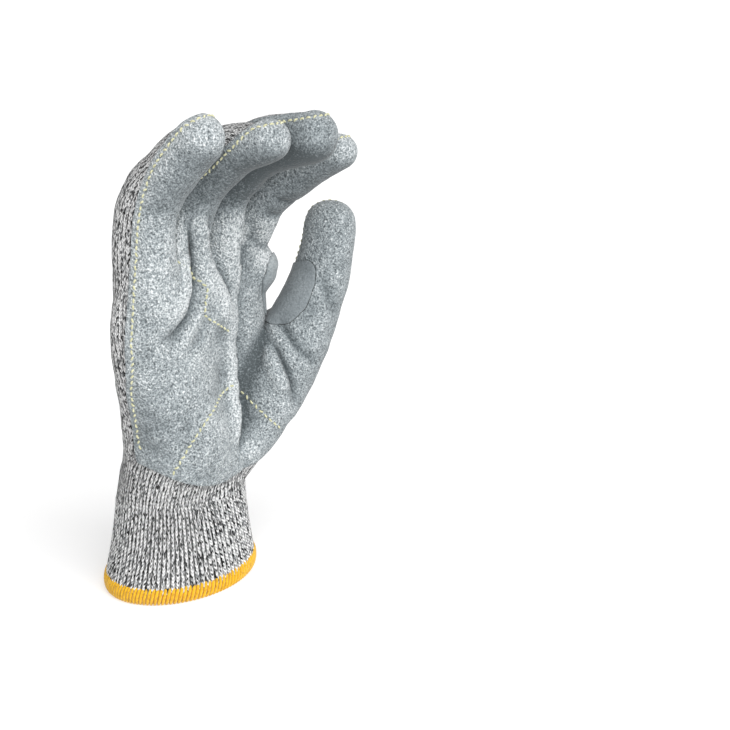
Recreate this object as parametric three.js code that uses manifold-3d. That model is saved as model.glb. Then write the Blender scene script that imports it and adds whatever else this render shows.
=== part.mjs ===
// A right-hand cut-resistant work glove, filled out as on a hand whose fingers curl towards the palm.
// It is a knitted glove with a ribbed cuff and a yellow overlocked edge. A sheet of split leather is
// sewn over the palm, the fronts of the fingers and the thumb, with a separate patch in the thumb's crotch.
// Units are millimetres. The origin is the centre of the cuff's opening, +Z runs from the wrist to the
// fingertips, the palm faces -Y and the thumb is on the +X side.
import * as THREE from "three";
import { mergeVertices } from "three/addons/utils/BufferGeometryUtils.js";
import Module from "manifold-3d";

const wasm = await Module();
wasm.setup();

// Walls, the clearance between pieces that touch, and how far a cutting solid runs past what it cuts.
const gap = 0.3;
const knitWall = 1.6;
const leatherWall = 1.3;
const patchWall = 1.6;
const past = 4;

// The cuff, from its edge to the wrist.
const wristZ = 40;
const hemHeight = 6;
const hemThickness = 3.8;
const hemSides = 6;
const hemSteps = 40;
const ribCount = 56;
const ribDepth = 0.8;
const cuffSections = [
  { z: hemHeight + gap, halfWidth: 38, halfDepth: 27 },
  { z: 16, halfWidth: 35.5, halfDepth: 25 },
  { z: 28, halfWidth: 32.5, halfDepth: 23 },
  { z: wristZ, halfWidth: 31, halfDepth: 22 },
];

// Sections of the hand from the wrist to the roots of the fingers, each with its centre's x and y, its
// half width, and its depth to the palm and to the back. hollow is how deep the palm's middle is pressed
// in, and how far from the centre. edges is how far behind the centre the leather's edge lies, at the
// little finger's side and at the thumb's.
const bodySections = [
  { z: wristZ, at: [0, 0], halfWidth: 31, palm: 22, back: 22, hollow: [0, 4], edges: [-4, -14] },
  { z: 50, at: [0.5, -0.5], halfWidth: 30.5, palm: 23, back: 20.5, hollow: [1, 4], edges: [-4, -14] },
  { z: 60, at: [1.5, -1], halfWidth: 31.5, palm: 24, back: 18.5, hollow: [3, 4], edges: [-4, -14] },
  { z: 74, at: [1.5, -2], halfWidth: 34.5, palm: 23, back: 17, hollow: [7, 4], edges: [-4, -14] },
  { z: 90, at: [0.5, -3], halfWidth: 38.5, palm: 20.5, back: 16, hollow: [8, 3], edges: [-4, -12] },
  { z: 108, at: [-0.5, -4], halfWidth: 41.5, palm: 18, back: 16, hollow: [5, 3], edges: [-4, -8] },
  { z: 124, at: [-0.5, -5], halfWidth: 42.5, palm: 15.5, back: 15.5, hollow: [1, 2], edges: [-4, -3] },
  { z: 136, at: [-0.5, -6.5], halfWidth: 40, palm: 12, back: 13.5, hollow: [0, 0], edges: [-3, -2] },
  { z: 143, at: [0, -7.5], halfWidth: 34, palm: 6, back: 9, hollow: [0, 0], edges: [-2, -2] },
];
const bodySides = 30;
const bodyRoundness = 2.3;
const hollowWidth = 0.3;

// Each digit's joints from inside the hand to the middle of its round tip, with the half width across
// the digit, the half depth from its back to its palm side, and how far behind the middle of its
// side the leather's edge lies.
const fingers = [
  {
    name: "pinky",
    palmSide: [0, -1, 0],
    joints: [
      { at: [-30, -6, 106], halfWidth: 9, halfDepth: 11, leatherBack: -4 },
      { at: [-32, -7, 131], halfWidth: 9.2, halfDepth: 12.6, leatherBack: -4 },
      { at: [-32, -9, 166], halfWidth: 9, halfDepth: 12, leatherBack: -3 },
      { at: [-31.5, -23, 184], halfWidth: 8.6, halfDepth: 10, leatherBack: 3 },
      { at: [-31, -34, 194], halfWidth: 8.2, halfDepth: 8.6, leatherBack: 5.5 },
    ],
  },
  {
    name: "ring",
    palmSide: [0, -1, 0],
    joints: [
      { at: [-10, -8.5, 110], halfWidth: 8.4, halfDepth: 11, leatherBack: -2 },
      { at: [-10.5, -9.5, 133], halfWidth: 8.4, halfDepth: 12, leatherBack: -2 },
      { at: [-10.5, -13, 168], halfWidth: 8.4, halfDepth: 11.2, leatherBack: -1 },
      { at: [-10.5, -30.5, 187], halfWidth: 8.4, halfDepth: 10.2, leatherBack: 5 },
      { at: [-10.5, -51, 193.6], halfWidth: 7.8, halfDepth: 6.8, leatherBack: 6 },
    ],
  },
  {
    name: "middle",
    palmSide: [0, -1, 0],
    joints: [
      { at: [10, -6.5, 110], halfWidth: 8.4, halfDepth: 11, leatherBack: -2 },
      { at: [10, -7.5, 133], halfWidth: 8.4, halfDepth: 12, leatherBack: -2 },
      { at: [10, -11.5, 167], halfWidth: 8.4, halfDepth: 11.6, leatherBack: 0 },
      { at: [10, -31, 187], halfWidth: 8.4, halfDepth: 11, leatherBack: 8 },
      { at: [10, -57, 193.8], halfWidth: 8, halfDepth: 8.6, leatherBack: 7.8 },
    ],
  },
  {
    name: "index",
    palmSide: [0, -1, 0],
    joints: [
      { at: [29, -2.5, 104], halfWidth: 8.8, halfDepth: 11, leatherBack: 1 },
      { at: [30.5, -3.5, 127], halfWidth: 8.8, halfDepth: 12, leatherBack: 1 },
      { at: [31, -14.5, 161], halfWidth: 8.6, halfDepth: 11, leatherBack: 1 },
      { at: [31, -34, 176.5], halfWidth: 8.6, halfDepth: 9.4, leatherBack: 5.5 },
      { at: [31, -54.2, 185.4], halfWidth: 7.8, halfDepth: 5.9, leatherBack: 5.3 },
    ],
  },
];
const thumb = {
  name: "thumb",
  palmSide: [-0.77, -0.64, 0],
  joints: [
    { at: [14, -8, 48], halfWidth: 14, halfDepth: 12, leatherBack: 2 },
    { at: [29, -17, 76], halfWidth: 17.5, halfDepth: 14, leatherBack: 3 },
    { at: [46, -26, 102], halfWidth: 13.5, halfDepth: 12.5, leatherBack: 3.5 },
    { at: [56.5, -31, 127], halfWidth: 11, halfDepth: 11.5, leatherBack: 3.5 },
    { at: [59.5, -33, 148.5], halfWidth: 10, halfDepth: 9.6, leatherBack: 4 },
  ],
};
// The fold of the hand between the thumb and the index finger.
const web = {
  palmSide: [-0.77, -0.64, 0],
  joints: [
    { at: [18, -7, 90], halfWidth: 8, halfDepth: 8, leatherBack: 0 },
    { at: [38, -11, 98], halfWidth: 8, halfDepth: 8, leatherBack: 0 },
    { at: [48, -22, 106], halfWidth: 8, halfDepth: 8, leatherBack: 0 },
  ],
};
const digits = [thumb, ...fingers];
const digitSides = 12;
const digitRings = 9;
const tipRings = 2;
const tipLastRingDegrees = 75;

// The leather's lower edge is half an ellipse over the wrist, and its sides widen above it.
const leatherLowZ = 48;
const leatherLowHalfWidth = 32.5;
const leatherLowHeight = 20;
const leatherSide = { halfWidth: 90, z: 88 };
const leatherTopZ = 230;
const leatherArcSteps = 16;

// The patch is what lies inside a round rod through the thumb's crotch.
const patchCone = {
  at: [51.2, -15.2, 116.5],
  towardsBack: [0.736, 0.618, -0.276],
  reach: 30,
  palmRadius: 13.8,
  backRadius: 13.8,
  sides: 28,
};

const knitLook = { color: 0xb4b7b8, roughness: 0.95 };
const leatherLook = { color: 0xa6b0b4, roughness: 0.9 };
const patchLook = { color: 0x8e979a, roughness: 0.85 };
const hemLook = { color: 0xe5b63b, roughness: 0.9 };

// A closed solid through rings of points that all have the same count, with a fan over each end.
function loft(rings) {
  const sides = rings[0].length;
  const points = rings.flat();
  for (const ring of [rings[0], rings.at(-1)]) {
    const middle = new THREE.Vector3();
    ring.forEach((point) => middle.addScaledVector(point, 1 / sides));
    points.push(middle);
  }
  const faces = [];
  const lastRing = (rings.length - 1) * sides;
  for (let i = 0; i < sides; i++) {
    const j = (i + 1) % sides;
    for (let start = 0; start < lastRing; start += sides) {
      faces.push(start + i, start + j, start + sides + j);
      faces.push(start + i, start + sides + j, start + sides + i);
    }
    faces.push(points.length - 2, j, i);
    faces.push(points.length - 1, lastRing + i, lastRing + j);
  }
  return solidOf(points, faces);
}

function solidOf(points, faces) {
  return new wasm.Manifold(
    new wasm.Mesh({
      numProp: 3,
      vertProperties: new Float32Array(points.flatMap((point) => point.toArray())),
      triVerts: new Uint32Array(faces),
    }),
  );
}

function union(solids) {
  return solids.reduce((whole, solid) => whole.add(solid));
}

// One section of the hand, grown outwards. A leather section stops at the leather's edge.
function bodyRing(row, grow, isLeather = false) {
  const bulge = (value) => Math.sign(value) * Math.abs(value) ** (2 / bodyRoundness);
  const [hollowDepth, hollowX] = row.hollow;
  return Array.from({ length: bodySides }, (_, i) => {
    const angle = (2 * Math.PI * i) / bodySides;
    const u = bulge(Math.cos(angle));
    const v = bulge(Math.sin(angle));
    const fromHollow = (u - hollowX / row.halfWidth) / hollowWidth;
    const pressedIn = v < 0 ? hollowDepth * Math.exp(-(fromHollow ** 2)) * v ** 2 : 0;
    const depth = v * ((v < 0 ? row.palm : row.back) + grow) + pressedIn;
    const edge = isLeather ? THREE.MathUtils.lerp(...row.edges, (u + 1) / 2) : Infinity;
    const x = row.at[0] + u * (row.halfWidth + grow);
    return new THREE.Vector3(x, row.at[1] + Math.min(depth, edge), row.z);
  });
}

function bodySolid(grow, isLeather, startZ = wristZ) {
  const rings = bodySections.map((row) => bodyRing(row, grow, isLeather));
  rings.at(-1).forEach((point) => (point.z += grow));
  rings[0].forEach((point) => (point.z = startZ));
  return loft(rings);
}

function lerpAlong(values, t) {
  const at = t * (values.length - 1);
  const i = Math.min(Math.floor(at), values.length - 2);
  return THREE.MathUtils.lerp(values[i], values[i + 1], at - i);
}

// A finger, the thumb or another round arm with a round tip. Its leather stops at the leather's edge.
function digitSolid({ joints, palmSide }, grow, isLeather = false) {
  const points = joints.map((joint) => new THREE.Vector3(...joint.at));
  const curve = new THREE.CatmullRomCurve3(points, false, "centripetal");
  const widths = joints.map((joint) => joint.halfWidth + grow);
  const depths = joints.map((joint) => joint.halfDepth + grow);
  const edges = joints.map((joint) => (isLeather ? joint.leatherBack : joint.halfDepth + grow));
  const towardsPalm = new THREE.Vector3(...palmSide).normalize();
  const across = new THREE.Vector3(0, 0, 1).cross(towardsPalm).normalize();
  const stations = [];
  for (let i = 0; i < digitRings; i++) stations.push({ t: i / (digitRings - 1), push: 0, shrink: 1 });
  for (let i = 1; i <= tipRings; i++) {
    const angle = THREE.MathUtils.degToRad((tipLastRingDegrees * i) / tipRings);
    stations.push({ t: 1, push: Math.sin(angle), shrink: Math.cos(angle) });
  }
  const rings = stations.map(({ t, push, shrink }) => {
    const along = curve.getTangent(t);
    const back = new THREE.Vector3().crossVectors(along, across).normalize();
    if (back.dot(towardsPalm) > 0) back.negate();
    const side = new THREE.Vector3().crossVectors(back, along);
    const halfWidth = lerpAlong(widths, t);
    const halfDepth = lerpAlong(depths, t);
    const edge = lerpAlong(edges, t);
    const middle = curve.getPoint(t).addScaledVector(along, push * halfDepth);
    return Array.from({ length: digitSides }, (_, k) => {
      const angle = (2 * Math.PI * k) / digitSides;
      return middle
        .clone()
        .addScaledVector(side, Math.cos(angle) * halfWidth * shrink)
        .addScaledVector(back, Math.min(Math.sin(angle) * halfDepth * shrink, edge));
    });
  });
  return loft(rings);
}

// The whole hand grown outwards, or shrunk to the room inside it.
function handSolid(grow, startZ) {
  const arms = [web, ...digits].map((arm) => digitSolid(arm, grow));
  return union([bodySolid(grow, false, startZ), ...arms]);
}

function knitBody() {
  const outside = union([bodySolid(0), digitSolid(web, 0)]);
  return outside.subtract(handSolid(-knitWall, wristZ - past));
}

function knitDigit(digit) {
  const hand = union([bodySolid(gap, false, wristZ - past), digitSolid(web, gap)]);
  return digitSolid(digit, 0).subtract(digitSolid(digit, -knitWall)).subtract(hand);
}

// Everything above the leather's rounded lower edge.
function aboveLeatherEdge() {
  const shape = new THREE.Shape();
  shape.moveTo(leatherSide.halfWidth, leatherTopZ);
  shape.lineTo(-leatherSide.halfWidth, leatherTopZ);
  shape.lineTo(-leatherSide.halfWidth, leatherSide.z);
  const middleZ = leatherLowZ + leatherLowHeight;
  shape.absellipse(0, middleZ, leatherLowHalfWidth, leatherLowHeight, Math.PI, 2 * Math.PI, false);
  shape.lineTo(leatherSide.halfWidth, leatherSide.z);
  const depth = 2 * leatherSide.halfWidth;
  const options = { depth, bevelEnabled: false, curveSegments: leatherArcSteps };
  const block = new THREE.ExtrudeGeometry(shape, options);
  block.translate(0, 0, -depth / 2);
  block.rotateX(Math.PI / 2);
  return solidFromGeometry(block);
}

function solidFromGeometry(geometry) {
  geometry.deleteAttribute("normal");
  geometry.deleteAttribute("uv");
  const merged = mergeVertices(geometry);
  return new wasm.Manifold(
    new wasm.Mesh({
      numProp: 3,
      vertProperties: merged.attributes.position.array,
      triVerts: new Uint32Array(merged.index.array),
    }),
  );
}

function patchZone(grow) {
  const axis = new THREE.Vector3(...patchCone.towardsBack).normalize();
  const side = new THREE.Vector3(0, 0, 1).cross(axis).normalize();
  const up = new THREE.Vector3().crossVectors(axis, side);
  const ends = [
    { along: -patchCone.reach, radius: patchCone.palmRadius + grow },
    { along: patchCone.reach, radius: patchCone.backRadius + grow },
  ];
  const rings = ends.map(({ along, radius }) => {
    const middle = new THREE.Vector3(...patchCone.at).addScaledVector(axis, along);
    return Array.from({ length: patchCone.sides }, (_, i) => {
      const angle = (2 * Math.PI * i) / patchCone.sides;
      return middle
        .clone()
        .addScaledVector(side, Math.cos(angle) * radius)
        .addScaledVector(up, Math.sin(angle) * radius);
    });
  });
  return loft(rings);
}

// The palm's side of the hand, grown by the leather. Each part is cut along the leather's edge first.
function leatherPalm() {
  const grow = gap + leatherWall;
  const palm = bodySolid(grow).intersect(bodySolid(grow + past, true));
  const arms = [web, ...digits].map((arm) => {
    return digitSolid(arm, grow).intersect(digitSolid(arm, grow + past, true));
  });
  const sheet = union([palm, ...arms]).intersect(aboveLeatherEdge());
  return sheet.subtract(handSolid(gap, wristZ - past)).subtract(patchZone(gap));
}

function crotchPatch() {
  const outside = handSolid(gap + patchWall, wristZ - past).intersect(patchZone(0));
  return outside.subtract(handSolid(gap, wristZ - past));
}

// The cuff's ring at a height, with its ribs as crests and valleys.
function cuffRing({ z, halfWidth, halfDepth }, grow, ribs, count) {
  return Array.from({ length: count }, (_, i) => {
    const angle = (2 * Math.PI * i) / count;
    const out = grow - (i % 2) * ribs;
    return new THREE.Vector3(Math.cos(angle) * (halfWidth + out), Math.sin(angle) * (halfDepth + out), z);
  });
}

function ribCuff() {
  const outside = cuffSections.map((row) => cuffRing(row, 0, ribDepth, 2 * ribCount));
  outside.at(-1).forEach((point) => (point.z = wristZ - gap));
  const inside = cuffSections.map((row) => cuffRing(row, -knitWall - ribDepth, 0, hemSteps));
  inside.at(-1).forEach((point) => (point.z = wristZ + past));
  inside[0].forEach((point) => (point.z -= past));
  return loft(outside).subtract(loft(inside));
}

// The overlocked edge is a ring whose section is an upright oval.
function cuffHem() {
  const { halfWidth, halfDepth } = cuffSections[0];
  const wallMiddle = (knitWall + ribDepth) / 2;
  const points = [];
  const faces = [];
  for (let i = 0; i < hemSteps; i++) {
    const angle = (2 * Math.PI * i) / hemSteps;
    for (let k = 0; k < hemSides; k++) {
      const turn = (2 * Math.PI * k) / hemSides;
      const out = (Math.cos(turn) * hemThickness) / 2 - wallMiddle;
      const z = (hemHeight / 2) * (1 + Math.sin(turn));
      const x = Math.cos(angle) * (halfWidth + out);
      const y = Math.sin(angle) * (halfDepth + out);
      points.push(new THREE.Vector3(x, y, z));
      const a = i * hemSides + k;
      const b = i * hemSides + ((k + 1) % hemSides);
      const c = ((i + 1) % hemSteps) * hemSides + k;
      const d = ((i + 1) % hemSteps) * hemSides + ((k + 1) % hemSides);
      faces.push(a, c, d, a, d, b);
    }
  }
  return solidOf(points, faces);
}

const pieces = new THREE.Group();

function addPiece(name, solid, look) {
  const mesh = solid.getMesh();
  const positions = new Float32Array(mesh.numVert * 3);
  for (let i = 0; i < mesh.numVert; i++) {
    positions.set(mesh.vertProperties.subarray(i * mesh.numProp, i * mesh.numProp + 3), i * 3);
  }
  const geometry = new THREE.BufferGeometry();
  geometry.setAttribute("position", new THREE.BufferAttribute(positions, 3));
  geometry.setIndex(new THREE.BufferAttribute(mesh.triVerts, 1));
  geometry.computeVertexNormals();
  const piece = new THREE.Mesh(geometry, new THREE.MeshStandardMaterial({ ...look, metalness: 0 }));
  piece.name = name;
  pieces.add(piece);
}

addPiece("knit_body", knitBody(), knitLook);
for (const digit of digits) addPiece(`knit_${digit.name}`, knitDigit(digit), knitLook);
addPiece("rib_cuff", ribCuff(), knitLook);
addPiece("cuff_hem", cuffHem(), hemLook);
addPiece("leather_palm", leatherPalm(), leatherLook);
addPiece("crotch_patch", crotchPatch(), patchLook);

export default pieces;
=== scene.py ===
import math

import bpy
import numpy as np
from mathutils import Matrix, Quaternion, Vector, noise


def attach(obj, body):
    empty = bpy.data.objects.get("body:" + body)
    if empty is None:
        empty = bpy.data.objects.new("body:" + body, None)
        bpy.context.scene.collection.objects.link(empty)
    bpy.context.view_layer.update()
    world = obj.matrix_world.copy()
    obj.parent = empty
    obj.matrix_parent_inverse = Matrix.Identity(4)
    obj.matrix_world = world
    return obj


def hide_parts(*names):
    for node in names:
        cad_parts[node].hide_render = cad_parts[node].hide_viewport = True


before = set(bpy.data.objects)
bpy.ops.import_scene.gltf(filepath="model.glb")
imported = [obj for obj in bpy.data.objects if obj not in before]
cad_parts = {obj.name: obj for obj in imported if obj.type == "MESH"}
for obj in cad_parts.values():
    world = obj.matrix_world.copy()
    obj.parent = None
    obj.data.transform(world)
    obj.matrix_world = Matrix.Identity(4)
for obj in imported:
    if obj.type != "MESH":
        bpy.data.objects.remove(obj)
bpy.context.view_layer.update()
mm = 0.001

# The knitted hand. One seamless tube of knitting from the wrist to the tips of the fingers, made of light
# and dark grey marl yarn with a cut-resistant core. It is filled out as on a curled hand.
wrist_z = 40
knit_wall = 1.5
voxel = 1.25
sections = 60
palm_sides = 72
arm_sides = 32
tip_rings = 8


def table(columns, rows):
    """Rows of numbers as one array for each named column."""
    return dict(zip(columns.split(), np.array(rows, float).T))


def smooth_rows(rows, count, place):
    """A spline through a table's rows, spaced by the distance between them in the columns named in place."""
    values = np.column_stack(list(rows.values()))
    where = [list(rows).index(name) for name in place]
    ends = np.vstack([2 * values[0] - values[1], values, 2 * values[-1] - values[-2]])
    t = np.linspace(0, len(values) - 1, count)
    i = np.minimum(t.astype(int), len(values) - 2)
    f = (t - i)[:, None]
    p = [ends[i + k] for k in range(4)]
    d = [np.sqrt(np.linalg.norm((p[k + 1] - p[k])[:, where], axis=1))[:, None] for k in range(3)]
    start = ((p[1] - p[0]) / d[0] - (p[2] - p[0]) / (d[0] + d[1]) + (p[2] - p[1]) / d[1]) * d[1]
    stop = ((p[2] - p[1]) / d[1] - (p[3] - p[1]) / (d[1] + d[2]) + (p[3] - p[2]) / d[2]) * d[1]
    made = (2 * f**3 - 3 * f**2 + 1) * p[1] + (f**3 - 2 * f**2 + f) * start
    made += (3 * f**2 - 2 * f**3) * p[2] + (f**3 - f**2) * stop
    return dict(zip(rows, made.T))


palm_rows = table(
    "z x y half_width palm back hollow hollow_x little_edge thumb_edge",
    [
        (32, 0, 0, 31, 22, 22, 0, 4, -4, -14),
        (wrist_z, 0, 0, 31, 22, 22, 0, 4, -4, -14),
        (50, 0.5, -0.5, 30.5, 23, 20.5, 1, 4, -1, -14),
        (60, 1.5, -1, 31.5, 24, 18.5, 3, 4, -1, -14),
        (74, 1.5, -2, 34.5, 23, 17, 7, 4, -1.5, -14),
        (90, 0.5, -3, 38.5, 20.5, 16, 8, 3, -2, -12),
        (108, -0.5, -4, 41.5, 18, 16, 5, 3, -2.2, -8),
        (124, -0.5, -5, 42.5, 15.5, 15.5, 1, 2, -2.4, -3),
        (136, -0.5, -6.5, 40, 12, 13.5, 0, 0, -2.2, -2),
        (143, 0, -7.5, 34, 6, 9, 0, 0, -2, -2),
    ],
)
palm_roundness = 2.3
hollow_width = 0.3
palm_fine = smooth_rows(palm_rows, sections, ["z"])

joint_columns = "x y z half_width half_depth leather_back"
digits = {
    "thumb": (
        (-0.77, -0.64, 0),
        [
            (14, -8, 48, 14, 12, 3),
            (29, -17, 76, 17.5, 14, 4.5),
            (46, -26, 102, 13.5, 12.5, 5),
            (56.5, -31, 127, 11, 11.5, 5.2),
            (59.5, -33, 148.5, 10, 9.6, 5.5),
        ],
    ),
    "pinky": (
        (0, -1, 0),
        [
            (-30, -6, 106, 9, 11, -2.5),
            (-32, -7, 131, 9.2, 12.6, -2.5),
            (-32, -9, 166, 9, 12, -3),
            (-31.5, -23, 184, 8.6, 10, 3),
            (-31, -34, 194, 8.2, 8.6, 5.5),
        ],
    ),
    "ring": (
        (0, -1, 0),
        [
            (-10, -8.5, 110, 8.4, 11, -2),
            (-10.5, -9.5, 133, 8.4, 12, -2),
            (-10.5, -13, 168, 8.4, 11.2, 0),
            (-10.5, -30.5, 187, 8.4, 10.2, -2),
            (-10.5, -51, 193.6, 7.8, 6.8, 6.4),
        ],
    ),
    "middle": (
        (0, -1, 0),
        [
            (10, -6.5, 110, 8.4, 11, -2),
            (10, -7.5, 133, 8.4, 12, -2),
            (10, -11.5, 167, 8.4, 11.6, 0),
            (10, -31, 187, 8.4, 11, 8),
            (10, -57, 193.8, 8, 8.6, 8.2),
        ],
    ),
    "index": (
        (0, -1, 0),
        [
            (29, -2.5, 104, 8.8, 11, 1),
            (30.5, -3.5, 127, 8.8, 12, 1),
            (31, -14.5, 161, 8.6, 11, 1),
            (31, -34, 176.5, 8.6, 9.4, 5.5),
            (31, -54.2, 185.4, 7.8, 5.9, 5.5),
        ],
    ),
    "web": (
        (-0.77, -0.64, 0),
        [
            (18, -7, 90, 8, 8, 0),
            (38, -11, 98, 8, 8, 0),
            (48, -22, 106, 8, 8, 0),
        ],
    ),
}


def arm_sections(palm_side, joints):
    """Sections of a finger, the thumb or the web, with the ways along, across and out of its back."""
    fine = smooth_rows(table(joint_columns, joints), sections, ["x", "y", "z"])
    middle = np.column_stack([fine["x"], fine["y"], fine["z"]])
    along = np.gradient(middle, axis=0)
    along /= np.linalg.norm(along, axis=1)[:, None]
    across = np.cross((0, 0, 1), palm_side)
    across = across / np.linalg.norm(across)
    back = np.cross(along, across)
    back /= np.linalg.norm(back, axis=1)[:, None]
    back *= -np.sign(back @ np.array(palm_side, float))[:, None]
    side = np.cross(back, along)
    length = np.concatenate([[0], np.cumsum(np.linalg.norm(np.diff(middle, axis=0), axis=1))])
    return dict(fine, middle=middle, along=along, back=back, side=side, length=length)


arms = {name: arm_sections(palm_side, joints) for name, (palm_side, joints) in digits.items()}


def signed_power(value, power):
    """A power that keeps the sign of what it is taken of."""
    return np.sign(value) * np.abs(value) ** power


def palm_ring(i, sides):
    """One section of the hand, as points round it."""
    angle = np.linspace(0, 2 * np.pi, sides, endpoint=False)
    u = signed_power(np.cos(angle), 2 / palm_roundness)
    v = signed_power(np.sin(angle), 2 / palm_roundness)
    row = {name: column[i] for name, column in palm_fine.items()}
    from_hollow = (u - row["hollow_x"] / row["half_width"]) / hollow_width
    pressed = row["hollow"] * np.exp(-(from_hollow**2)) * v**2
    depth = v * np.where(v < 0, row["palm"], row["back"]) + np.where(v < 0, pressed, 0)
    return np.column_stack([row["x"] + u * row["half_width"], row["y"] + depth, np.full(sides, row["z"])])


def arm_rings(arm, sides):
    """Sections of a finger, the thumb or the web from its root to its round tip."""
    angle = np.linspace(0, 2 * np.pi, sides, endpoint=False)
    last = len(arm["x"]) - 1
    tip_turns = np.linspace(0, math.pi / 2, tip_rings)[1:-1]
    stations = [(i, 0, 1) for i in range(last + 1)]
    stations += [(last, math.sin(turn), math.cos(turn)) for turn in tip_turns]
    rings = []
    for i, push, shrink in stations:
        centre = arm["middle"][i] + arm["along"][i] * push * arm["half_depth"][i]
        wide = np.outer(np.cos(angle) * arm["half_width"][i] * shrink, arm["side"][i])
        deep = np.outer(np.sin(angle) * arm["half_depth"][i] * shrink, arm["back"][i])
        rings.append(centre + wide + deep)
    return rings


def closed_tube(rings):
    """Points and faces through rings of equal count, with both ends closed."""
    sides = len(rings[0])
    faces = []
    for k in range(len(rings) - 1):
        for i in range(sides):
            j = (i + 1) % sides
            faces.append((k * sides + i, k * sides + j, (k + 1) * sides + j, (k + 1) * sides + i))
    faces.append(tuple(range(sides))[::-1])
    faces.append(tuple(range((len(rings) - 1) * sides, len(rings) * sides)))
    return np.vstack(rings), faces


def joined(parts):
    """Several lists of points and faces as one."""
    points, faces, start = [], [], 0
    for some_points, some_faces in parts:
        points.append(some_points)
        faces += [tuple(start + i for i in face) for face in some_faces]
        start += len(some_points)
    return np.vstack(points), faces


def new_object(name, points, faces, edges=(), scale=mm):
    """A mesh in the scene, from points in millimetres unless scale says otherwise."""
    mesh = bpy.data.meshes.new(name)
    mesh.from_pydata((np.asarray(points) * scale).tolist(), edges, faces)
    mesh.update()
    made = bpy.data.objects.new(name, mesh)
    bpy.context.collection.objects.link(made)
    return made


def evaluated(shape):
    """The mesh that an object's modifiers give, as a plain mesh."""
    graph = bpy.context.evaluated_depsgraph_get()
    return bpy.data.meshes.new_from_object(shape.evaluated_get(graph))


def read_points(mesh):
    flat = np.empty(len(mesh.vertices) * 3)
    mesh.vertices.foreach_get("co", flat)
    return flat.reshape(-1, 3)


def read_quads(mesh):
    flat = np.empty(len(mesh.loops), int)
    mesh.loops.foreach_get("vertex_index", flat)
    return flat.reshape(-1, 4)


def point_normals(points, quads):
    """The mean normal of the faces round each point, where larger faces count for more."""
    turned = np.cross(points[quads[:, 2]] - points[quads[:, 0]], points[quads[:, 3]] - points[quads[:, 1]])
    total = np.zeros_like(points)
    for k in range(4):
        for axis in range(3):
            total[:, axis] += np.bincount(quads[:, k], turned[:, axis], len(points))
    return total / np.maximum(np.linalg.norm(total, axis=1), 1e-9)[:, None]


def neighbour_mean(values, quads):
    """Each point's mean over the ends of its edges."""
    a = quads.ravel()
    b = np.roll(quads, -1, axis=1).ravel()
    count = np.bincount(a, minlength=len(values)) + np.bincount(b, minlength=len(values))
    total = np.zeros_like(values)
    for axis in range(values.shape[1]):
        total[:, axis] = np.bincount(a, values[b, axis], len(values))
        total[:, axis] += np.bincount(b, values[a, axis], len(values))
    return total / np.maximum(count, 1)[:, None]


tubes = [closed_tube([palm_ring(i, palm_sides) for i in range(sections)])]
tubes += [closed_tube(arm_rings(arm, arm_sides)) for arm in arms.values()]
rough = new_object("rough_hand", *joined(tubes), scale=1)
remesh = rough.modifiers.new("one skin", "REMESH")
remesh.mode = "VOXEL"
remesh.voxel_size = voxel
skin = evaluated(rough)
hand, quads = read_points(skin), read_quads(skin)
bpy.data.objects.remove(rough)


def smoothed(values, turns):
    """Values on the hand's points after some turns of averaging each with its neighbours."""
    made = values.reshape(len(values), -1)
    for turn in range(turns):
        made = neighbour_mean(made, quads)
    return made.reshape(values.shape)


# Each turn draws the skin in and lets it out again, so that it grows smooth and keeps its size.
skin_turns = 12
drawn_in, let_out = 0.5, 0.52
for turn in range(skin_turns):
    hand += drawn_in * (neighbour_mean(hand, quads) - hand)
    hand -= let_out * (neighbour_mean(hand, quads) - hand)


def along_palm(points):
    """Where points lie on the palm's sections: the sections' columns, and the place across and round them."""
    rows = {name: np.interp(points[:, 2], palm_fine["z"], column) for name, column in palm_fine.items()}
    rows["u"] = (points[:, 0] - rows["x"]) / rows["half_width"]
    rows["v"] = (points[:, 1] - rows["y"]) / np.where(points[:, 1] < rows["y"], rows["palm"], rows["back"])
    power = palm_roundness
    radius = (np.abs(rows["u"]) ** power + np.abs(rows["v"]) ** power) ** (1 / power)
    rows["off"] = (radius - 1) * np.minimum(rows["palm"], rows["back"])
    rows["off"] += np.maximum(points[:, 2] - palm_rows["z"][-1], 0)
    return rows


def along_arm(points, arm):
    """Where points lie on a finger, the thumb or the web."""
    nearest = np.zeros(len(points), int)
    at_once = 5000
    for start in range(0, len(points), at_once):
        some = points[start : start + at_once]
        gaps = ((some[:, None] - arm["middle"][None]) ** 2).sum(2)
        nearest[start : start + at_once] = gaps.argmin(1)
    away = points - arm["middle"][nearest]
    place = {name: (away * arm[name][nearest]).sum(1) for name in ("along", "side", "back")}
    wide, deep = arm["half_width"][nearest], arm["half_depth"][nearest]
    beyond = np.where(nearest == len(arm["x"]) - 1, np.maximum(place["along"], 0), 0)
    beyond += np.where(nearest == 0, np.maximum(-place["along"], 0), 0)
    radius = np.sqrt((place["side"] / wide) ** 2 + (place["back"] / deep) ** 2 + (beyond / deep) ** 2)
    place["off"] = (radius - 1) * np.minimum(wide, deep)
    place["length"] = arm["length"][nearest] + place["along"]
    place["round"] = np.arctan2(place["back"] / deep, place["side"] / wide)
    place["inside_edge"] = arm["leather_back"][nearest] - place["back"]
    return place


def smooth_path(path, count=24):
    """A curve through a few points."""
    return np.column_stack(list(smooth_rows(table("x y z", path), count, ["x", "y", "z"]).values()))


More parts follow.
